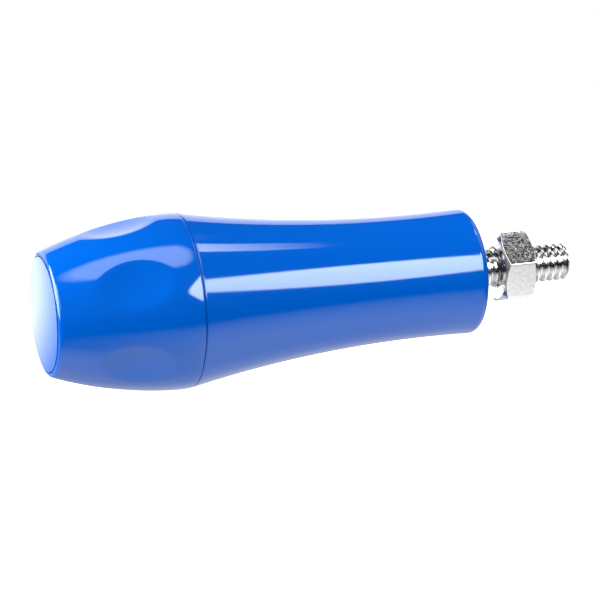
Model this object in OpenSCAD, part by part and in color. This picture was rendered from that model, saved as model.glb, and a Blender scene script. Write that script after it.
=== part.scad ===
// Revolving machine handle: a hollow two-piece hand grip that turns freely on a
// fixed spindle, with a threaded stud and a lock nut to fasten it to a crank or lever.
// The axis lies along X. The origin is the centre of the lock nut's outer face, where
// the handle meets the crank; +X points out of the stud's free end.

/* [Grip] */
// Length of the grip, from its face to the head's end
grip_length = 73; // [70:1:80]
// Distance from the grip's face to the seam between sleeve and head
seam_at = 50; // [48:0.5:50.5]
// Radius of the waist, the slimmest place on the sleeve
waist_r = 10.3; // [10:0.1:11]
// Distance from the grip's face to the waist
waist_at = 9; // [6:0.5:14]
// Radius of the crown, the thickest place on the head
crown_r = 14.4; // [13.5:0.1:16]
// Radius of the rounding that leads over the crown to the seam
crown_arc = 22; // [14:1:30]
// Angle at which the crown runs down into the seam, in degrees
crown_fall = 5; // [3:0.5:7]
// Angle at which the head's curve runs into the crown, in degrees
crown_lean = 2.7; // [0:0.1:4]
// Radius of the head just before its end is rounded
end_r = 10.5; // [10.4:0.1:11]
// Rounding of the grip's face edge
face_round = 1.3; // [0.5:0.1:1.5]
// Rounding of the head's end edge
end_round = 0.9; // [0.5:0.1:0.9]
// Wall of the hollow sleeve
wall = 2.4; // [2:0.1:2.6]

/* [Finger scallops] */
// Number of scallops round the head
scallop_count = 6; // [4:1:8]
// Depth of a scallop at its middle
scallop_depth = 0.85; // [0.3:0.05:1]
// Radius of the hollow that each scallop follows
scallop_r = 30; // [20:1:45]
// Distance from the grip's face to the middle of the scallops
scallop_at = 60.5; // [58:0.5:63]

/* [End cap] */
// Radius of the cap's disc
cap_r = 9.35; // [9:0.05:9.35]
// Thickness of the cap's disc
cap_t = 1.6; // [1.2:0.1:2]
// How far the middle of the cap stands above the head's end
cap_crown = 0.3; // [0.2:0.05:0.6]
// How far the edge of the cap stands above the head's end
cap_rise = 0.12; // [0:0.02:0.16]
// Outer radius of the cap's snap skirt
skirt_r = 8.35; // [8:0.05:8.4]
// Length of the cap's snap skirt
skirt_l = 4.2; // [3:0.2:4.6]

/* [Stud and lock nut] */
// Major diameter of the 1/4-20 thread
thread_d = 6.35; // [6.35:0.01:6.35]
// Pitch of the thread
pitch = 1.27; // [1.27:0.01:1.27]
// Length of the threaded stud
stud_l = 31.75; // [28:0.25:34]
// Length of thread beyond the lock nut
free_l = 7.1; // [6.6:0.1:8]
// Gap between the grip's face and the lock nut
nut_gap = 4.75; // [4.5:0.05:6]
// Lock nut size across flats
nut_af = 11.11; // [11.11:0.01:11.11]
// Lock nut thickness
nut_h = 5.56; // [5:0.01:6]
// Turn of the lock nut about the axis, in degrees
nut_turn = -17.5; // [-30:0.5:30]

/* [Spindle and bearings] */
// Radius of the spindle
spindle_r = 5; // [4.9:0.1:5.2]
// Radius of the spindle's flange
flange_r = 6.5; // [6:0.1:6.8]
// Thickness of the spindle's flange
flange_t = 2.8; // [2:0.1:3]
// Hexagon key size of the spindle's socket, across flats
key_af = 5; // [4:1:5]
// Depth of the spindle's socket
key_depth = 3.5; // [3:0.5:5]
// Outer radius of both bushes
bush_r = 6.5; // [6.4:0.1:6.6]
// Length of a bush's barrel
bush_l = 10; // [9:0.5:10]
// Radius of a bush's flange
bush_flange_r = 7.6; // [7.4:0.1:7.8]
// Thickness of a bush's flange
bush_flange_t = 1.2; // [1:0.1:1.3]
// Thickness of the thrust washers
washer_t = 0.8; // [0.5:0.1:1]
// Thickness of the retaining ring
ring_t = 0.9; // [0.8:0.1:1]

/* [Hidden] */
$fn = 96;
eps = 0.01;

// Fits: radial clearance of the spindle in its bushes and of the nut on the stud, end
// play beside each washer, and the gaps round the cap's disc and the glued spigot
run = 0.05;
thread_run = 0.04;
end_play = 0.2;
cap_gap = 0.1;
glue_gap = 0.05;

// Places along X
face_x = -nut_h - nut_gap;
seam_x = face_x - seam_at;
end_x = face_x - grip_length;
crown_x = seam_x - crown_arc * sin(crown_fall);
waist_x = face_x - waist_at;
web_x = face_x - 63.2;
web_inner_x = face_x - 51;

// Crown circle, the waist arc that starts at the seam where the crown ends, a little
// steeper, and the head arc that runs into the crown
crown_c = [crown_x, crown_r - crown_arc];
seam_r = crown_c[1] + crown_arc * cos(crown_fall);
waist_run = waist_x - seam_x;
waist_drop = seam_r - waist_r;
waist_arc = (waist_run * waist_run + waist_drop * waist_drop) / (2 * waist_drop);
waist_c = [waist_x, waist_r + waist_arc];
lean = [-sin(crown_lean), cos(crown_lean)];
head_touch = crown_c + crown_arc * lean;
head_start = [end_x + 1, end_r];
to_start = head_start - head_touch;
head_arc = -(to_start * to_start) / (2 * (to_start * lean));
head_c = head_touch - head_arc * lean;

// Centre [x, radius] of the ball that hollows a scallop, square to the head's curve
scallop_x = face_x - scallop_at;
scallop_lean = asin((scallop_x - head_c[0]) / head_arc);
scallop_c = head_c + (head_arc - scallop_depth + scallop_r)
          * [sin(scallop_lean), cos(scallop_lean)];

// Outer radius of the grip at a place x along the axis
function head_radius(x) = head_c[1] + sqrt(pow(head_arc, 2) - pow(x - head_c[0], 2));
function crown_radius(x) = crown_c[1] + sqrt(pow(crown_arc, 2) - pow(x - crown_c[0], 2));
function waist_radius(x) = waist_c[1] - sqrt(pow(waist_arc, 2) - pow(x - waist_c[0], 2));
function grip_radius(x) =
    x < head_touch[0] ? head_radius(x) :
    x < seam_x ? crown_radius(x) : waist_radius(x);

// [radius, x] points along the grip between two places, less a wall thickness
function grip_line(x0, x1, count, inset = 0) =
    [for (i = [0 : count]) let (x = x0 + (x1 - x0) * i / count) [grip_radius(x) - inset, x]];

// Quarter-circle points about a centre [radius, x], from one angle to another
function arc(centre, r, a0, a1, count = 10) =
    [for (i = [0 : count]) let (a = a0 + (a1 - a0) * i / count)
        centre + r * [cos(a), sin(a)]];

// Bearing places
journal_end_x = face_x - 0.6;
front_flange_x = face_x - 0.3 - bush_flange_t;
rear_flange_x = web_x - bush_flange_t;
outer_washer_x = rear_flange_x - end_play - washer_t;
spindle_flange_x = outer_washer_x - flange_t;
inner_washer_x = web_x + bush_l + end_play;
ring_x = inner_washer_x + washer_t;
ring_groove_r = 4.3;
washer_r = 6.3;

// Spigot of the head inside the sleeve
spigot_r = 11.4;
spigot_bore_r = 9.4;
spigot_l = 5;
boss_l = 13;

// Cap seat and snap bead
skirt_wall = 1.2;
bead_r = 0.3;
bead_x = end_x + cap_t + skirt_l - 1;
cavity_r = 8.45;

// Thread form: depth of the groove between crests, and its width at the crests
thread_r = thread_d / 2;
groove_depth = 0.6134 * pitch;
groove_w = pitch * 7 / 8;
tip_chamfer = 0.6;
hex_r = nut_af / 2 / cos(30);
nut_chamfer_r = nut_af / 2 * 0.95;
nut_chamfer_l = (hex_r - nut_chamfer_r) * tan(30);

// Turns an outline of [radius, x] points about the X axis
module turned(points) {
    rotate([0, 90, 0])
        rotate_extrude()
            polygon(points);
}

// Solid cylinder along X from x0 to x1
module bar(r, x0, x1) {
    translate([x0, 0, 0])
        rotate([0, 90, 0])
            cylinder(r = r, h = x1 - x0);
}

// Flat ring along X from x0 to x1
module tube(r_out, r_in, x0, x1) {
    difference() {
        bar(r_out, x0, x1);
        bar(r_in, x0 - 1, x1 + 1);
    }
}

// Round-section ring about the axis at place x
module bead(r_ring, r_section, x) {
    translate([x, 0, 0])
        rotate([0, 90, 0])
            rotate_extrude()
                translate([r_ring, 0])
                    circle(r = r_section, $fn = 32);
}

// Waisted sleeve, open at the seam, with a boss at the face that holds the front bush
module grip_sleeve() {
    face_r = grip_radius(face_x - face_round);
    outline = concat(
        [[0, seam_x]],
        grip_line(seam_x, face_x - face_round, 36),
        arc([face_r - face_round, face_x - face_round], face_round, 0, 90),
        [[0, face_x]]);
    hollow = concat(
        [[0, seam_x + spigot_l]],
        grip_line(seam_x + spigot_l, face_x - boss_l, 24, wall),
        [[0, face_x - boss_l]]);
    color("royalblue")
        difference() {
            turned(outline);
            turned(hollow);
            bar(spigot_r + glue_gap, seam_x - 1, seam_x + spigot_l + glue_gap);
            bar(bush_r, face_x - boss_l - 1, face_x + 1);
            bar(bush_flange_r, front_flange_x, face_x + 1);
        }
}

// Head with finger scallops, a web that holds the rear bush, a spigot that enters the
// sleeve and a seat for the cap
module grip_head() {
    shoulder_r = grip_radius(end_x + end_round);
    outline = concat(
        [[0, end_x]],
        arc([shoulder_r - end_round, end_x + end_round], end_round, -90, 0),
        grip_line(end_x + end_round + 0.1, seam_x, 36),
        [[spigot_r, seam_x], [spigot_r, seam_x + spigot_l], [0, seam_x + spigot_l]]);
    color("royalblue")
        difference() {
            turned(outline);
            for (i = [0 : scallop_count - 1])
                rotate([i * 360 / scallop_count, 0, 0])
                    translate([scallop_c[0], 0, scallop_c[1]])
                        sphere(r = scallop_r, $fn = 180);
            bar(cap_r + cap_gap, end_x - 1, end_x + cap_t);
            bar(cavity_r, end_x - 1, web_x);
            bead(cavity_r, bead_r, bead_x);
            bar(bush_r, web_x - 1, web_inner_x + 1);
            bar(spigot_bore_r, web_inner_x, seam_x + spigot_l + 1);
        }
}

// Pressed-in disc that closes the head, slightly domed, with a hollow snap skirt
module end_cap() {
    dome_h = cap_crown - cap_rise;
    dome_r = (cap_r * cap_r + dome_h * dome_h) / (2 * dome_h);
    color("royalblue")
        difference() {
            union() {
                intersection() {
                    bar(cap_r, end_x - cap_crown - 1, end_x + cap_t);
                    translate([end_x - cap_crown + dome_r, 0, 0])
                        sphere(r = dome_r, $fn = 720);
                }
                bar(skirt_r, end_x + cap_t - eps, end_x + cap_t + skirt_l);
                bead(skirt_r, bead_r - 0.1, bead_x);
            }
            bar(skirt_r - skirt_wall, end_x + cap_t, end_x + cap_t + skirt_l + 1);
        }
}

// Plain bearing with a flange on the side that is given: -1 towards -X, 1 towards +X
module bush(barrel_x, flange_x) {
    color("ivory")
        difference() {
            union() {
                bar(bush_r, barrel_x, barrel_x + bush_l);
                bar(bush_flange_r, flange_x, flange_x + bush_flange_t);
            }
            bar(spindle_r + run, flange_x - bush_l - 1, flange_x + bush_l + 2);
        }
}

// Bush in the sleeve's boss, its flange flush in the face
module front_bush() {
    bush(front_flange_x - bush_l, front_flange_x);
}

// Bush in the head's web, its flange against the web
module rear_bush() {
    bush(web_x, rear_flange_x);
}

// Fixed shaft that the grip turns on, with a flange and a key socket at the head end, a
// ring groove, and a tapped hole for the stud
module spindle() {
    color("silver")
        difference() {
            union() {
                bar(spindle_r, spindle_flange_x, journal_end_x);
                bar(flange_r, spindle_flange_x, spindle_flange_x + flange_t);
            }
            bar(thread_r, free_l - stud_l, journal_end_x + 1);
            translate([spindle_flange_x - 1, 0, 0])
                rotate([0, 90, 0])
                    cylinder(r = key_af / 2 / cos(30), h = key_depth + 1, $fn = 6);
            tube(spindle_r + 1, ring_groove_r, ring_x, ring_x + ring_t);
        }
}

// Stud screwed into the spindle. Rings stand for the thread's turns between the grip and
// the nut's outer face; the free end keeps its full diameter, the surface that a crank's
// hole meets.
module threaded_stud() {
    ring_count = floor((-face_x + 0.3) / pitch);
    color("gainsboro")
        difference() {
            turned([[0, free_l - stud_l], [thread_r, free_l - stud_l],
                    [thread_r, free_l - tip_chamfer], [thread_r - tip_chamfer, free_l],
                    [0, free_l]]);
            for (i = [0 : ring_count - 1])
                translate([-groove_w / 2 - i * pitch, 0, 0])
                    turned([[thread_r - groove_depth, 0], [thread_r + eps, -groove_w / 2],
                            [thread_r + 1, -groove_w / 2], [thread_r + 1, groove_w / 2],
                            [thread_r + eps, groove_w / 2]]);
        }
}

// Washer between the spindle's flange and the rear bush
module outer_thrust_washer() {
    color("lightgray")
        tube(washer_r, spindle_r + run, outer_washer_x, outer_washer_x + washer_t);
}

// Washer between the rear bush and the retaining ring
module inner_thrust_washer() {
    color("lightgray")
        tube(washer_r, spindle_r + run, inner_washer_x, inner_washer_x + washer_t);
}

// Open ring that snaps into the spindle's groove
module retaining_ring() {
    slot_w = 5.5;
    color("dimgray")
        difference() {
            tube(washer_r - 0.2, ring_groove_r, ring_x, ring_x + ring_t);
            translate([ring_x - 1, -slot_w / 2, 0])
                cube([ring_t + 2, slot_w, washer_r + 1]);
        }
}

// Hexagon nut with both faces chamfered and the bore's mouths countersunk
module lock_nut() {
    sink = 0.4;
    bore_r = thread_r + thread_run;
    color("gainsboro")
        rotate([nut_turn, 0, 0])
            difference() {
                intersection() {
                    translate([-nut_h, 0, 0])
                        rotate([0, 90, 0])
                            rotate([0, 0, 90])
                                cylinder(r = hex_r, h = nut_h, $fn = 6);
                    turned([[0, -nut_h], [nut_chamfer_r, -nut_h],
                            [hex_r + eps, -nut_h + nut_chamfer_l], [hex_r + eps, -nut_chamfer_l],
                            [nut_chamfer_r, 0], [0, 0]]);
                }
                bar(bore_r, -nut_h - 1, 1);
                turned([[0, -nut_h - eps], [bore_r + sink + eps, -nut_h - eps],
                        [0, -nut_h + bore_r + sink]]);
                turned([[0, eps], [bore_r + sink + eps, eps], [0, -bore_r - sink]]);
            }
}

grip_sleeve();
grip_head();
end_cap();
front_bush();
rear_bush();
spindle();
threaded_stud();
outer_thrust_washer();
inner_thrust_washer();
retaining_ring();
lock_nut();
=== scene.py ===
import bmesh
import bpy
import math
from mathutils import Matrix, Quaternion, Vector

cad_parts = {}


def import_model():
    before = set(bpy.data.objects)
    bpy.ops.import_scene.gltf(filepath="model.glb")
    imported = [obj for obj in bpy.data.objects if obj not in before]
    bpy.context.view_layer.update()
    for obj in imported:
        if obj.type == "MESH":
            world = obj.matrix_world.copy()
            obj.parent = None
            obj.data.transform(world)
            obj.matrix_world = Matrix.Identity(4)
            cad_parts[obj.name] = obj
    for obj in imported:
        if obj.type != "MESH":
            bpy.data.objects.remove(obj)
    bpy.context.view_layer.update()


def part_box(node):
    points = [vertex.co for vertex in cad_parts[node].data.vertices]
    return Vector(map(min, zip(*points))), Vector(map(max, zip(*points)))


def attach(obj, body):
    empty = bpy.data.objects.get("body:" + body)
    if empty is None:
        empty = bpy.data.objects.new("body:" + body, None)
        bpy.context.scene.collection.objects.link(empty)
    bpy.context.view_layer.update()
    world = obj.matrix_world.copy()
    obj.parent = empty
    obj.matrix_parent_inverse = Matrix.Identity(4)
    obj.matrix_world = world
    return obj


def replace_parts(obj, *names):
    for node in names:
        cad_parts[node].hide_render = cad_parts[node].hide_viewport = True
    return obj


# Revolving machine handle, as it would lie on a bench: a two-piece blue grip with an end
# cap turns on a steel spindle, and a threaded stud with a lock nut fastens it to a crank.
# Lengths in this script are in millimetres until a mesh, light or camera is made. The
# handle's axis is X, and angles round it run from +Y towards +Z.

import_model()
MM = 0.001


def span(node):
    """Lowest x, highest x and largest radius of a CAD node. A gap at its top leaves the
    radius to be read from its side."""
    low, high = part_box(node)
    return low.x / MM, high.x / MM, max(high.y, high.z) / MM


# Places along the axis, from the frame
seam_x, face_x, _ = span("grip_sleeve")
end_x, spigot_x, _ = span("grip_head")
cap_top_x, skirt_x, _ = span("end_cap")
stud_x, tip_x, _ = span("threaded_stud")
nut_x, nut_face_x, _ = span("lock_nut")

# The grip's outline: a head arc that runs into a crown arc, which ends at the seam, and a
# waist arc that starts there a little steeper
waist_r = 10.3
waist_x = face_x - 9
crown_r = 14.4
crown_arc = 22
crown_fall = math.radians(5)
crown_lean = math.radians(2.7)
end_r = 10.5
crown_x = seam_x - crown_arc * math.sin(crown_fall)
crown_y = crown_r - crown_arc
waist_drop = crown_y + crown_arc * math.cos(crown_fall) - waist_r
waist_arc = ((waist_x - seam_x) ** 2 + waist_drop ** 2) / (2 * waist_drop)
waist_y = waist_r + waist_arc
lean = Vector((-math.sin(crown_lean), math.cos(crown_lean)))
head_touch = Vector((crown_x, crown_y)) + crown_arc * lean
to_end = Vector((end_x + 1, end_r)) - head_touch
head_arc = -to_end.dot(to_end) / (2 * to_end.dot(lean))
head_x, head_y = head_touch - head_arc * lean

# Finger scallops: balls whose centres lie square to the head's outline
scallop_count = 6
scallop_depth = 0.85
scallop_r = 30
scallop_blend = 0.3
scallop_lean = math.asin((face_x - 60.5 - head_x) / head_arc)
scallop_reach = head_arc - scallop_depth + scallop_r
scallop_x = head_x + scallop_reach * math.sin(scallop_lean)
scallop_y = head_y + scallop_reach * math.cos(scallop_lean)

# The 1/4-20 thread, the nut on it and the 5 mm key socket behind the cap
pitch = 1.27
thread_r = 3.175
root_r = thread_r - 0.5 * pitch
hex_af = 11.11
nut_turn = math.radians(-17.5)

# Bearing parts inside the grip
spindle_r = 5.0
bush_r = 6.5
bush_bore_r = 5.05
bush_flange_t = 1.2
ring_groove_r = 4.3
spigot_r = 11.4
spigot_bore_r = 9.4
cap_r = 9.35
cap_seat_r = 9.44
cap_rise = 0.12
cavity_r = 8.45
wall = 2.4
edge = 0.12


# ---------------------------------------------------------------- outlines and meshes

def grip_radius(x):
    """Outer radius of the plain grip, before the scallops are cut."""
    if x < head_touch.x:
        return head_y + math.sqrt(head_arc ** 2 - (x - head_x) ** 2)
    if x < seam_x:
        return crown_y + math.sqrt(crown_arc ** 2 - (x - crown_x) ** 2)
    return waist_y - math.sqrt(waist_arc ** 2 - (x - waist_x) ** 2)


def grip_line(x0, x1, count, inset=0.0):
    """Corners with no rounding along the grip's outline."""
    steps = [x0 + (x1 - x0) * i / count for i in range(count + 1)]
    return [(x, grip_radius(x) - inset, 0) for x in steps]


def rounded(corners, closed=True):
    """Outline through (x, radius, rounding) corners, each rounded by an arc. A support
    point on both sides of an arc keeps the shading of the flats flat."""
    outline = []
    count = len(corners)
    for i, (x, r, rounding) in enumerate(corners):
        here = Vector((x, r))
        if rounding == 0 or (not closed and i in (0, count - 1)):
            outline.append(here)
            continue
        before = (Vector(corners[i - 1][:2]) - here).normalized()
        after = (Vector(corners[(i + 1) % count][:2]) - here).normalized()
        half = before.angle(after) / 2
        reach = rounding / math.tan(half)
        centre = here + (before + after).normalized() * rounding / math.sin(half)
        spoke = here + before * reach - centre
        turn = spoke.angle_signed(here + after * reach - centre)
        steps = 4 + round(7 * rounding)
        support = min(0.3 * rounding, 0.05)
        outline.append(here + before * (reach + support))
        for k in range(steps + 1):
            a = -turn * k / steps
            outline.append(centre + Vector((spoke.x * math.cos(a) - spoke.y * math.sin(a),
                                            spoke.x * math.sin(a) + spoke.y * math.cos(a))))
        outline.append(here + after * (reach + support))
    return outline


def full_turn(count):
    """Evenly spaced angles round the axis."""
    return [math.tau * i / count for i in range(count)]


def finished_piece(bm, name, body, slot):
    """Object made from a closed mesh, with its material, riding on a body."""
    bmesh.ops.recalc_face_normals(bm, faces=bm.faces)
    mesh = bpy.data.meshes.new(name)
    bm.to_mesh(mesh)
    bm.free()
    mesh.shade_smooth()
    mesh.set_sharp_from_angle(angle=math.radians(40))
    mesh.materials.append(MATERIALS[slot])
    piece = bpy.data.objects.new(name, mesh)
    bpy.context.scene.collection.objects.link(piece)
    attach(piece, body)
    return piece


def revolve(name, body, slot, outline_at, angles, closed=True, wrap=lambda row: row):
    """Clean mesh turned about X. outline_at(angle) gives the outline at that angle; wrap
    gives the row that each row meets after one turn, which a screw thread needs."""
    bm = bmesh.new()
    columns = []
    for angle in angles:
        c, s = math.cos(angle), math.sin(angle)
        columns.append([bm.verts.new((x * MM, r * c * MM, r * s * MM))
                        for x, r in outline_at(angle)])
    rows = len(columns[0])
    for i, column in enumerate(columns):
        last = i == len(columns) - 1
        following = columns[0] if last else columns[i + 1]
        for row in range(rows if closed else rows - 1):
            up = (row + 1) % rows
            a, b = (wrap(row), wrap(up)) if last else (row, up)
            quad = [column[row], column[up], following[b], following[a]]
            if len(set(quad)) == len(quad):
                bm.faces.new(quad)
            elif len(set(quad)) == 3:
                bm.faces.new(list(dict.fromkeys(quad)))
    bmesh.ops.remove_doubles(bm, verts=bm.verts, dist=1e-7)
    bmesh.ops.dissolve_degenerate(bm, edges=bm.edges, dist=1e-7)
    bmesh.ops.delete(bm, geom=[e for e in bm.edges if not e.link_faces], context="EDGES")
    return finished_piece(bm, name, body, slot)


def lathe(name, body, slot, corners, count, closed=True):
    """Mesh turned about X from one outline."""
    outline = rounded(corners, closed)
    return revolve(name, body, slot, lambda angle: outline, full_turn(count), closed)


# ---------------------------------------------------------------- materials

def new_material(name, **sockets):
    """Principled material whose plain values sit on the shader's own sockets."""
    material = bpy.data.materials.new(name)
    material.use_nodes = True
    shader = material.node_tree.nodes["Principled BSDF"]
    for socket, value in sockets.items():
        shader.inputs[socket.replace("_", " ")].default_value = value
    return material, material.node_tree, shader


def link(tree, source, target):
    """Joins an output socket to an input socket."""
    tree.links.new(source, target)


def surface_point(tree, stretch=(1, 1, 1)):
    """Object coordinates, scaled along each axis."""
    place = tree.nodes.new("ShaderNodeTexCoord")
    mapping = tree.nodes.new("ShaderNodeMapping")
    mapping.inputs["Scale"].default_value = stretch
    link(tree, place.outputs["Object"], mapping.inputs["Vector"])
    return mapping.outputs["Vector"]


def lathe_point(tree):
    """Coordinates (x, distance from the axis): what a turning tool's marks follow."""
    parts = tree.nodes.new("ShaderNodeSeparateXYZ")
    spoke = tree.nodes.new("ShaderNodeCombineXYZ")
    length = tree.nodes.new("ShaderNodeVectorMath")
    length.operation = "LENGTH"
    out = tree.nodes.new("ShaderNodeCombineXYZ")
    link(tree, surface_point(tree), parts.inputs[0])
    link(tree, parts.outputs["Y"], spoke.inputs["Y"])
    link(tree, parts.outputs["Z"], spoke.inputs["Z"])
    link(tree, spoke.outputs[0], length.inputs[0])
    link(tree, parts.outputs["X"], out.inputs["X"])
    link(tree, length.outputs["Value"], out.inputs["Y"])
    return out.outputs[0]


def noise(tree, vector, scale, detail=2.0, roughness=0.5):
    """Noise value at a point; scale is in waves a metre."""
    node = tree.nodes.new("ShaderNodeTexNoise")
    node.inputs["Scale"].default_value = scale
    node.inputs["Detail"].default_value = detail
    node.inputs["Roughness"].default_value = roughness
    link(tree, vector, node.inputs["Vector"])
    return node.outputs["Fac"]


def spread(tree, value, low, high, from_low=0.3, from_high=0.7):
    """Maps a noise value to a range."""
    node = tree.nodes.new("ShaderNodeMapRange")
    node.inputs["From Min"].default_value = from_low
    node.inputs["From Max"].default_value = from_high
    node.inputs["To Min"].default_value = low
    node.inputs["To Max"].default_value = high
    link(tree, value, node.inputs["Value"])
    return node.outputs["Result"]


def tint(tree, value, dark, light):
    """Colour between two others."""
    node = tree.nodes.new("ShaderNodeMix")
    node.data_type = "RGBA"
    node.inputs["A"].default_value = (*dark, 1)
    node.inputs["B"].default_value = (*light, 1)
    link(tree, spread(tree, value, 0, 1), node.inputs["Factor"])
    return node.outputs["Result"]


def bump(tree, height, distance, strength=1.0, over=None):
    """Bump of a height map; distance is in metres. over is a bump that lies beneath."""
    node = tree.nodes.new("ShaderNodeBump")
    node.inputs["Distance"].default_value = distance
    node.inputs["Strength"].default_value = strength
    link(tree, height, node.inputs["Height"])
    if over is not None:
        link(tree, over, node.inputs["Normal"])
    return node.outputs["Normal"]


def blue_plastic():
    """Polished blue moulding: slight flow shading, a faint ripple and fine rub marks."""
    material, tree, shader = new_material("blue_plastic", IOR=1.5,
                                          Specular_Tint=(0.86, 1, 1, 1))
    point = surface_point(tree)
    flow = noise(tree, surface_point(tree, (0.35, 1, 1)), 90, 3)
    link(tree, tint(tree, flow, (0.0, 0.073, 0.395), (0.0, 0.078, 0.42)),
         shader.inputs["Base Color"])
    rubs = noise(tree, surface_point(tree, (1, 0.12, 0.12)), 2600, 2)
    link(tree, spread(tree, rubs, 0.045, 0.075), shader.inputs["Roughness"])
    ripple = bump(tree, noise(tree, point, 150, 1), 0.00002, 0.4)
    grain = bump(tree, noise(tree, point, 4200, 2), 0.0000006, 0.5, ripple)
    link(tree, grain, shader.inputs["Normal"])
    return material


def plated_steel():
    """Bright zinc over slightly rough steel: mottled, with small pits."""
    material, tree, shader = new_material("plated_steel", Metallic=1.0)
    point = surface_point(tree)
    mottle = noise(tree, point, 1900, 3, 0.6)
    link(tree, tint(tree, mottle, (0.57, 0.57, 0.58), (0.65, 0.65, 0.66)),
         shader.inputs["Base Color"])
    link(tree, spread(tree, mottle, 0.10, 0.24), shader.inputs["Roughness"])
    waves = bump(tree, noise(tree, point, 1500, 2, 0.6), 0.00005, 0.5)
    pits = bump(tree, noise(tree, point, 6000, 2), 0.000006, 0.4, waves)
    link(tree, pits, shader.inputs["Normal"])
    return material


def turned_steel():
    """Steel turned on a lathe: fine rings round the axis."""
    material, tree, shader = new_material("turned_steel", Metallic=1.0)
    rings = noise(tree, lathe_point(tree), 9000, 2)
    link(tree, tint(tree, rings, (0.52, 0.52, 0.53), (0.66, 0.66, 0.67)),
         shader.inputs["Base Color"])
    link(tree, spread(tree, rings, 0.22, 0.34), shader.inputs["Roughness"])
    link(tree, bump(tree, rings, 0.000004, 0.6), shader.inputs["Normal"])
    return material


def spring_steel():
    """Dark phosphated spring steel."""
    material, tree, shader = new_material("spring_steel", Metallic=1.0)
    mottle = noise(tree, surface_point(tree), 3000, 3)
    link(tree, tint(tree, mottle, (0.12, 0.12, 0.13), (0.22, 0.22, 0.24)),
         shader.inputs["Base Color"])
    link(tree, spread(tree, mottle, 0.38, 0.55), shader.inputs["Roughness"])
    link(tree, bump(tree, mottle, 0.000004, 0.5), shader.inputs["Normal"])
    return material


def bearing_plastic():
    """Natural acetal: milky, waxy, with faint tool rings."""
    material, tree, shader = new_material("bearing_plastic", IOR=1.48)
    cloud = noise(tree, surface_point(tree), 400, 2)
    link(tree, tint(tree, cloud, (0.76, 0.74, 0.66), (0.84, 0.82, 0.75)),
         shader.inputs["Base Color"])
    rings = noise(tree, lathe_point(tree), 6000, 2)
    link(tree, spread(tree, rings, 0.32, 0.42), shader.inputs["Roughness"])
    link(tree, bump(tree, rings, 0.000003, 0.5), shader.inputs["Normal"])
    return material


MATERIALS = {make.__name__: make() for make in
             (blue_plastic, plated_steel, turned_steel, spring_steel, bearing_plastic)}


# ---------------------------------------------------------------- the grip

def grip_sleeve():
    """Waisted sleeve, hollow, open at the seam, with a boss that holds the front bush."""
    boss_x = face_x - 13
    flange_x = span("front_bush")[1] - bush_flange_t
    face_r = grip_radius(face_x)
    corners = [(seam_x, grip_radius(seam_x), 0.28)]
    corners += grip_line(seam_x + 0.6, face_x - 1.5, 64)
    corners += [(face_x, face_r, 1.3), (face_x, 7.6, edge), (flange_x, 7.6, 0),
                (flange_x, bush_r, 0), (boss_x, bush_r, 0)]
    corners += grip_line(boss_x, seam_x + 5.05, 20, wall)
    corners += [(seam_x + 5.05, spigot_r + 0.05, 0), (seam_x, spigot_r + 0.05, edge)]
    return lathe("sleeve_skin", "grip", "blue_plastic", corners, 256)


def scalloped(point):
    """Pushes a point of the head out of the scallops' balls, with a soft brim."""
    for i in range(scallop_count):
        a = math.tau * i / scallop_count + math.pi / 2
        centre = Vector((scallop_x, scallop_y * math.cos(a), scallop_y * math.sin(a)))
        away = point - centre
        inside = scallop_r - away.length
        brim = max(scallop_blend - abs(inside), 0) / scallop_blend
        push = max(inside, 0) + brim * brim * scallop_blend / 4
        if push > 0:
            point = point + away.normalized() * push
    return point


def grip_head():
    """Head with its scallops, the web that holds the rear bush, and the seat of the cap."""
    web_x, web_inner_x = face_x - 63.2, face_x - 51
    end_face_r = grip_radius(end_x)
    corners = [(seam_x, grip_radius(seam_x), 0.28)]
    corners += grip_line(seam_x - 0.6, end_x + 1.1, 110)
    corners += [(end_x, end_face_r, 0.9), (end_x, cap_seat_r, edge),
                (end_x + 1.6, cap_seat_r, 0), (end_x + 1.6, cavity_r, edge),
                (web_x, cavity_r, 0), (web_x, bush_r, edge),
                (web_inner_x, bush_r, edge), (web_inner_x, spigot_bore_r, 0),
                (spigot_x, spigot_bore_r, edge), (spigot_x, spigot_r, edge),
                (seam_x, spigot_r, 0)]
    piece = lathe("head_skin", "grip", "blue_plastic", corners, 360)
    for vertex in piece.data.vertices:
        place = vertex.co / MM
        if math.hypot(place.y, place.z) > cap_seat_r + 0.2 and place.x < seam_x:
            vertex.co = scalloped(place) * MM
    return piece


def end_cap():
    """Domed disc with a rounded rim and a hollow snap skirt."""
    rim_x = end_x - cap_rise
    crown = rim_x - cap_top_x
    dome_r = (cap_r ** 2 + crown ** 2) / (2 * crown)
    skirt_r, skirt_bore_r = 8.35, 7.15
    under_x = end_x + 1.6
    dome = [cap_r * i / 24 for i in range(24)]
    corners = [(cap_top_x + dome_r - math.sqrt(dome_r ** 2 - r * r), r, 0) for r in dome]
    corners += [(rim_x, cap_r, 0.1), (under_x, cap_r, 0.1), (under_x, skirt_r, 0),
                (skirt_x - 1.25, skirt_r, 0), (skirt_x - 1, skirt_r + 0.15, 0.1),
                (skirt_x - 0.75, skirt_r, 0), (skirt_x, skirt_r, 0.3),
                (skirt_x, skirt_bore_r, edge), (under_x, skirt_bore_r, 0.3), (under_x, 0, 0)]
    return lathe("end_cap_skin", "grip", "blue_plastic", corners, 192, closed=False)


# ---------------------------------------------------------------- bearing parts

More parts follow.
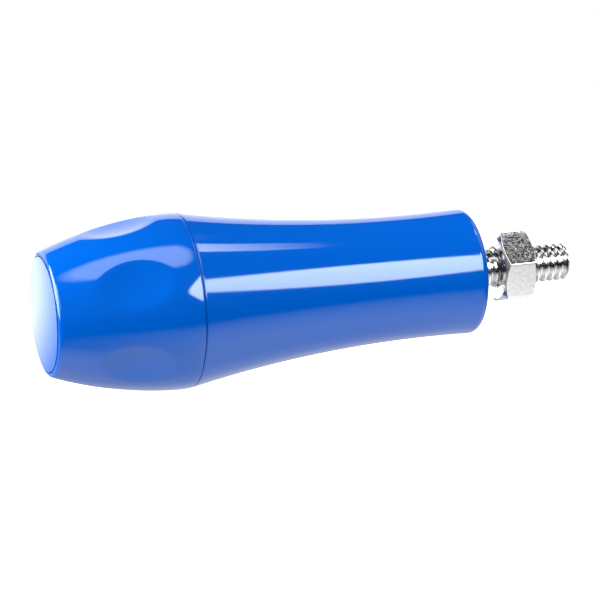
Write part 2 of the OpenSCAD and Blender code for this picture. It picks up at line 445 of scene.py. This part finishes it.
def bush(node, flange_low):
    """Flanged plain bearing; flange_low tells which end the flange is at."""
    low, high, flange_r = span(node)
    ends = (low, high) if flange_low else (high, low)
    sign = 1 if flange_low else -1
    step_x = ends[0] + sign * bush_flange_t
    corners = [(ends[0], bush_bore_r, 0.25), (ends[0], flange_r, edge),
               (step_x, flange_r, edge), (step_x, bush_r, 0),
               (ends[1], bush_r, 0.25), (ends[1], bush_bore_r, 0.25)]
    return lathe(node + "_turned", "grip", "bearing_plastic", corners, 128)


def washer(node):
    """Flat ring with broken edges."""
    low, high, r = span(node)
    corners = [(low, bush_bore_r, 0.08), (low, r, 0.1), (high, r, 0.1),
               (high, bush_bore_r, 0.08)]
    return lathe(node + "_turned", "spindle", "turned_steel", corners, 128)


def hex_radius(angle, across_flats, rounding):
    """Distance from the axis to a hexagon with rounded corners; angle 0 is a corner."""
    apothem = across_flats / 2
    third = math.radians(30)
    off_flat = abs((angle % math.radians(60)) - third)
    inner = apothem - rounding
    if off_flat <= math.atan2(inner * math.tan(third), apothem):
        return apothem / math.cos(off_flat)
    centre = inner / math.cos(third)
    off_corner = third - off_flat
    return centre * math.cos(off_corner) \
        + math.sqrt(rounding ** 2 - (centre * math.sin(off_corner)) ** 2)


def hex_angles(across_flats, rounding, flat_steps, corner_steps, turn=0.0):
    """Angles that meet a rounded hexagon's tangent points, with steps between them."""
    apothem = across_flats / 2
    third = math.radians(30)
    tangent = math.atan2((apothem - rounding) * math.tan(third), apothem)
    rounds = [(third - tangent) * (2 * i / corner_steps - 1) for i in range(corner_steps)]
    flats = [third - tangent + 2 * tangent * i / flat_steps for i in range(flat_steps)]
    return [turn + math.radians(60) * k + a for k in range(6) for a in rounds + flats]


def spindle():
    """Fixed shaft with a flange, a hexagon key socket, a ring groove and a tapped hole."""
    low, high, flange_r = span("spindle")
    ring_low, ring_high, _ = span("retaining_ring")
    flange_x, socket_x = low + 2.8, low + 3.5
    key_af, key_round = 5, 0.2

    def outline_at(angle):
        key = hex_radius(angle, key_af, key_round)
        return rounded([(socket_x + 0.5, 0, 0), (socket_x, key, 0), (low, key, 0.1),
                        (low, flange_r, 0.3), (flange_x, flange_r, 0.2),
                        (flange_x, spindle_r, 0), (ring_low, spindle_r, 0.05),
                        (ring_low, ring_groove_r, 0), (ring_high, ring_groove_r, 0),
                        (ring_high, spindle_r, 0.05), (high, spindle_r, 0.4),
                        (high, thread_r + 0.25, 0), (high - 0.25, thread_r, 0),
                        (stud_x, thread_r, 0), (stud_x - 1.2, 0, 0)], closed=False)
    return revolve("spindle_turned", "spindle", "turned_steel", outline_at,
                   hex_angles(key_af, key_round, 12, 4), closed=False)


def retaining_ring():
    """Open snap ring with rounded ends, gapped at the top."""
    low, high, r = span("retaining_ring")
    half_gap, broken, steps = 2.75, 0.08, 96
    middle = (ring_groove_r + r) / 2
    start = math.pi / 2 + math.asin(half_gap / middle)
    sweep = math.tau - 2 * math.asin(half_gap / middle)
    bm = bmesh.new()
    rings = []
    section = rounded([(low, ring_groove_r, broken), (low, r, broken),
                       (high, r, broken), (high, ring_groove_r, broken)])
    for i in range(steps + 1):
        a = start + sweep * i / steps
        tip = min(i, steps - i) / 3
        thin = 1 if tip >= 1 else 0.55 + 0.45 * math.sqrt(1 - (1 - tip) ** 2)
        ring = []
        for x, radius in section:
            radius = middle + (radius - middle) * thin
            ring.append(bm.verts.new((x * MM, radius * math.cos(a) * MM,
                                      radius * math.sin(a) * MM)))
        rings.append(ring)
    count = len(section)
    for ring, following in zip(rings, rings[1:]):
        for k in range(count):
            up = (k + 1) % count
            bm.faces.new((ring[k], ring[up], following[up], following[k]))
    bm.faces.new(rings[0])
    bm.faces.new(list(reversed(rings[-1])))
    return finished_piece(bm, "retaining_ring_bent", "spindle", "spring_steel")


# ---------------------------------------------------------------- stud and nut

def thread_form(crest_r, bottom_r, grow=0.0):
    """Outline of one pitch of a 60 degree thread, crest first. grow widens the crest."""
    crest = 0.14 * pitch + grow
    flank = (crest_r - bottom_r) * math.tan(math.radians(30))
    corners = [(-crest, crest_r, 0.06), (crest, crest_r, 0.06),
               (crest + flank, bottom_r, 0.09), (pitch - crest - flank, bottom_r, 0.09),
               (pitch - crest, crest_r, 0)]
    return rounded(corners, closed=False)[:-1]


def form_radius(form, x):
    """Radius of a thread form at a place along the pitch."""
    x = (x - form[0].x) % pitch + form[0].x
    ends = form[1:] + [form[0] + Vector((pitch, 0))]
    for a, b in zip(form, ends):
        if x <= b.x:
            share = (x - a.x) / max(b.x - a.x, 1e-9)
            return a.y + (b.y - a.y) * share
    return form[0].y


def helix_rows(form, low, high, angle, limit):
    """Points along a right-hand thread at one angle, between two places. limit(x, r)
    cuts them to a chamfer. Rows past an end gather on it."""
    turn = angle / math.tau
    turns = math.ceil((high - low) / pitch) + 2
    points = []
    for k in range(turns):
        for p in form:
            x = low + (k - 1 + turn) * pitch + p.x
            r = p.y
            if not low < x < high:
                x = min(max(x, low), high)
                r = form_radius(form, x - low - turn * pitch)
            points.append(Vector((x, limit(x, r))))
    return points


def helix_wrap(first, rows, per_turn):
    """Which row each row meets after one turn: a thread's rows move on by one turn."""
    def wrap(row):
        if first <= row < first + rows:
            return min(row + per_turn, first + rows - 1)
        return row
    return wrap


def threaded_stud():
    """Stud with a right-hand thread from end to end and a chamfered tip."""
    form = thread_form(thread_r, root_r)
    chamfer = 0.6

    def limit(x, r):
        return min(r, thread_r - chamfer + (tip_x - x), thread_r - chamfer + (x - stud_x))

    def outline_at(angle):
        rows = helix_rows(form, stud_x, tip_x, angle, limit)
        inner = [Vector((stud_x, 0)), Vector((stud_x, 1.2))]
        outer = [Vector((tip_x, 2.2)), Vector((tip_x, 1.2)), Vector((tip_x, 0))]
        return inner + rows + outer
    rows = len(helix_rows(form, stud_x, tip_x, 0, limit))
    return revolve("stud_thread", "spindle", "plated_steel", outline_at, full_turn(96),
                   closed=False, wrap=helix_wrap(2, rows, len(form)))


def lock_nut():
    """Hexagon nut, chamfered on both faces, with its own thread inside. The thread meets
    the stud's at whole turns only."""
    corner_round = 0.22
    chamfer_r = hex_af / 2 * 0.95
    sink_r = thread_r + 0.44
    gap, inner_crest_r = 0.07, 2.72
    form = thread_form(thread_r + gap, inner_crest_r, gap)

    def limit(x, r):
        return max(r, sink_r - (x - nut_x), sink_r - (nut_face_x - x))

    def outline_at(angle):
        r = hex_radius(angle - nut_turn, hex_af, corner_round)
        cut = (r - chamfer_r) * math.tan(math.radians(30))
        outside = rounded([(nut_face_x, sink_r, 0), (nut_face_x, chamfer_r, 0.12),
                           (nut_face_x - cut, r, 0.1), (nut_x + cut, r, 0.1),
                           (nut_x, chamfer_r, 0.12), (nut_x, sink_r, 0)], closed=False)
        return outside + helix_rows(form, nut_x, nut_face_x, angle, limit)
    first = len(outline_at(0)) - len(helix_rows(form, nut_x, nut_face_x, 0, limit))
    rows = len(outline_at(0)) - first
    return revolve("lock_nut_hex", "lock_nut", "plated_steel", outline_at,
                   hex_angles(hex_af, corner_round, 14, 4, nut_turn),
                   wrap=helix_wrap(first, rows, len(form)))


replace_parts(grip_sleeve(), "grip_sleeve")
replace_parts(grip_head(), "grip_head")
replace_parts(end_cap(), "end_cap")
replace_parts(bush("front_bush", flange_low=False), "front_bush")
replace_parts(bush("rear_bush", flange_low=True), "rear_bush")
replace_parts(washer("outer_thrust_washer"), "outer_thrust_washer")
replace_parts(washer("inner_thrust_washer"), "inner_thrust_washer")
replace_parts(retaining_ring(), "retaining_ring")
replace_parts(spindle(), "spindle")
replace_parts(threaded_stud(), "threaded_stud")
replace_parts(lock_nut(), "lock_nut")


# ---------------------------------------------------------------- stage, light and camera

grip_middle = Vector((seam_x + 20, 0, 0)) * MM


def direction(azimuth, elevation):
    """Unit vector from the handle: azimuth 0 is towards -Y, and 90 is towards +X."""
    a, e = math.radians(azimuth), math.radians(elevation)
    return Vector((math.sin(a) * math.cos(e), -math.cos(a) * math.cos(e), math.sin(e)))


def calculate(tree, operation, first, second=None):
    """Math node; an input is a socket or a plain number."""
    node = tree.nodes.new("ShaderNodeMath")
    node.operation = operation
    for socket, value in zip(node.inputs, (first, second)):
        if isinstance(value, (int, float)):
            socket.default_value = value
        elif value is not None:
            link(tree, value, socket)
    return node.outputs[0]


def softbox(name, place, aim, width, height, radiance, roll=0, rim=0.1, corner=4,
            across=(1, 1), upwards=(1, 1)):
    """Rectangular light at place, facing aim, with rounded corners and a soft rim. across
    and upwards are the relative brightness at its two sides and at its bottom and top."""
    light = bpy.data.lights.new(name, "AREA")
    light.shape = "RECTANGLE"
    light.size = width
    light.size_y = height
    light.energy = radiance * math.pi * width * height
    light.use_nodes = True
    tree = light.node_tree
    face = tree.nodes.new("ShaderNodeNewGeometry")
    parts = tree.nodes.new("ShaderNodeSeparateXYZ")
    link(tree, face.outputs["Parametric"], parts.inputs[0])
    powers = []
    for axis in ("X", "Y"):
        off_middle = calculate(tree, "MULTIPLY_ADD", parts.outputs[axis], 2)
        off_middle.node.inputs[2].default_value = -1
        powers.append(calculate(tree, "POWER", calculate(tree, "ABSOLUTE", off_middle), corner))
    outward = calculate(tree, "POWER", calculate(tree, "ADD", *powers), 1 / corner)
    glow = spread(tree, outward, 1, 0, 1 - rim, 1)
    for axis, (low, high) in (("X", across), ("Y", upwards)):
        if low != high:
            glow = calculate(tree, "MULTIPLY", glow,
                             spread(tree, parts.outputs[axis], low, high, 0, 1))
    link(tree, glow, tree.nodes["Emission"].inputs["Strength"])
    lamp = bpy.data.objects.new(name, light)
    lamp.location = place
    look = (aim - place).to_track_quat("-Z", "Y")
    lamp.rotation_euler = (look @ Quaternion((0, 0, 1), math.radians(roll))).to_euler()
    bpy.context.scene.collection.objects.link(lamp)
    return lamp


def lights():
    """Key softbox at the front right, a big soft panel and a slim rim light at the left, a
    panel and a brighter strip overhead, a weak fill at the right and a lit backdrop."""
    key = grip_middle + direction(28.3, 26.3) * 0.6
    softbox("key_light", key, grip_middle, 0.334, 0.26, 16.5, roll=38,
            rim=0.15, upwards=(0.75, 1))
    side = grip_middle + direction(-102, 12) * 0.6
    softbox("side_light", side, grip_middle, 0.7, 0.5, 14)
    rim = grip_middle + direction(-61, 29) * 0.6
    softbox("rim_light", rim, grip_middle, 0.09, 0.45, 12, roll=38)
    height = 0.5
    down = Vector((0, 0, -1))
    over = grip_middle + Vector((-0.075 * height, -0.3 * height, height))
    softbox("top_light", over, over + down, 0.9 * height, 0.74 * height, 4.8, rim=0.25,
            corner=2.4)
    strip = grip_middle + Vector((0.6 * height, 0.02 * height, height))
    softbox("strip_light", strip, strip + down, 0.24 * height, 0.25 * height, 16,
            across=(0, 1))
    fill = grip_middle + direction(98, 36) * 0.6
    softbox("fill_light", fill, grip_middle, 0.6, 0.5, 1.2)
    behind = grip_middle + Vector((0.1, 0.55, 0.04))
    softbox("backdrop_light", behind, behind - Vector((0, 1, 0)), 1.2, 0.62, 1.7, rim=0.05)


def floor():
    """Pale table below the handle. It is white to look at. What the handle reflects, and
    what lights it from below, is a painted glow: painted pools of light, strongest under
    the key light and fading towards the viewer, and a painted shadow of the handle."""
    half, drop = 2.0, 0.047
    bm = bmesh.new()
    bmesh.ops.create_grid(bm, x_segments=8, y_segments=8, size=half)
    mesh = bpy.data.meshes.new("floor")
    bm.to_mesh(mesh)
    bm.free()
    table = bpy.data.objects.new("floor", mesh)
    table.location = (grip_middle.x, 0, -drop)
    bpy.context.scene.collection.objects.link(table)
    material = bpy.data.materials.new("pale_floor")
    material.use_nodes = True
    tree = material.node_tree
    tree.nodes.clear()
    out = tree.nodes.new("ShaderNodeOutputMaterial")
    glow = tree.nodes.new("ShaderNodeEmission")
    place = tree.nodes.new("ShaderNodeTexCoord")
    path = tree.nodes.new("ShaderNodeLightPath")

    def pool(x, y, near, far, strength):
        """Round painted pool of light about (x, y): full as far as near, and none beyond far.
        """
        distance = tree.nodes.new("ShaderNodeVectorMath")
        distance.operation = "DISTANCE"
        distance.inputs[1].default_value = (x * MM, y * MM, 0)
        link(tree, place.outputs["Object"], distance.inputs[0])
        return spread(tree, distance.outputs["Value"], strength, 0, near * MM, far * MM)
    # Painted pools of light in the floor's glow, under, beside and behind the handle
    painted_pool_below_grip = pool(20, -52, 15, 110, 1.75)
    painted_pool_below_head = pool(-58, -14, 0, 40, 1.7)
    painted_pool_below_nut = pool(72, -15, 5, 45, 0.9)
    painted_pool_beyond_grip = pool(10, 225, 103, 138, 2.1)
    painted_pool_beyond_all = pool(0, 240, 262, 290, 0.55)
    # Painted shadow of the handle: the glow under the axis drops to 0.55 and comes back in full
    # 40 mm to each side
    parts = tree.nodes.new("ShaderNodeSeparateXYZ")
    link(tree, place.outputs["Object"], parts.inputs[0])
    off_axis = calculate(tree, "ABSOLUTE", parts.outputs["Y"])
    shade = spread(tree, off_axis, 0.55, 1, 10 * MM, 40 * MM)
    shaded = calculate(tree, "MULTIPLY", calculate(tree, "ADD", painted_pool_below_grip, painted_pool_below_head), shade)
    near = calculate(tree, "ADD", shaded, painted_pool_below_nut)
    beyond = calculate(tree, "ADD", painted_pool_beyond_grip, painted_pool_beyond_all)
    seen = calculate(tree, "ADD", near, beyond)
    # Camera rays see the floor plain white; all other rays see the painted glow
    eye = path.outputs["Is Camera Ray"]
    strength = calculate(tree, "MAXIMUM", seen, eye)
    link(tree, strength, glow.inputs["Strength"])
    link(tree, glow.outputs[0], out.inputs["Surface"])
    mesh.materials.append(material)


def world():
    """White to look at, and nearly dark as a light, so that the softboxes do the work."""
    scene = bpy.context.scene
    scene.world = bpy.data.worlds.new("studio")
    scene.world.use_nodes = True
    tree = scene.world.node_tree
    sky = tree.nodes["Background"]
    path = tree.nodes.new("ShaderNodeLightPath")
    link(tree, spread(tree, path.outputs["Is Camera Ray"], 0.03, 1.0, 0, 1),
         sky.inputs["Strength"])
    sky.inputs["Color"].default_value = (1, 1, 1, 1)
    scene.view_settings.view_transform = "Standard"


def camera():
    """Long lens from the front left, above the handle."""
    azimuth, elevation, roll, distance = -18.32, 15.76, -0.89, 0.5
    target = Vector((-0.03999, 0, -0.0021))
    data = bpy.data.cameras.new("camera")
    data.lens = 182.1
    data.sensor_width = 36
    data.clip_start = 0.01
    rig = bpy.data.objects.new("camera", data)
    back = direction(azimuth, elevation)
    look = (-back).to_track_quat("-Z", "Y") @ Quaternion((0, 0, 1), math.radians(roll))
    rig.location = target + back * distance
    rig.rotation_euler = look.to_euler()
    bpy.context.scene.collection.objects.link(rig)
    bpy.context.scene.camera = rig


world()
floor()
lights()
camera()
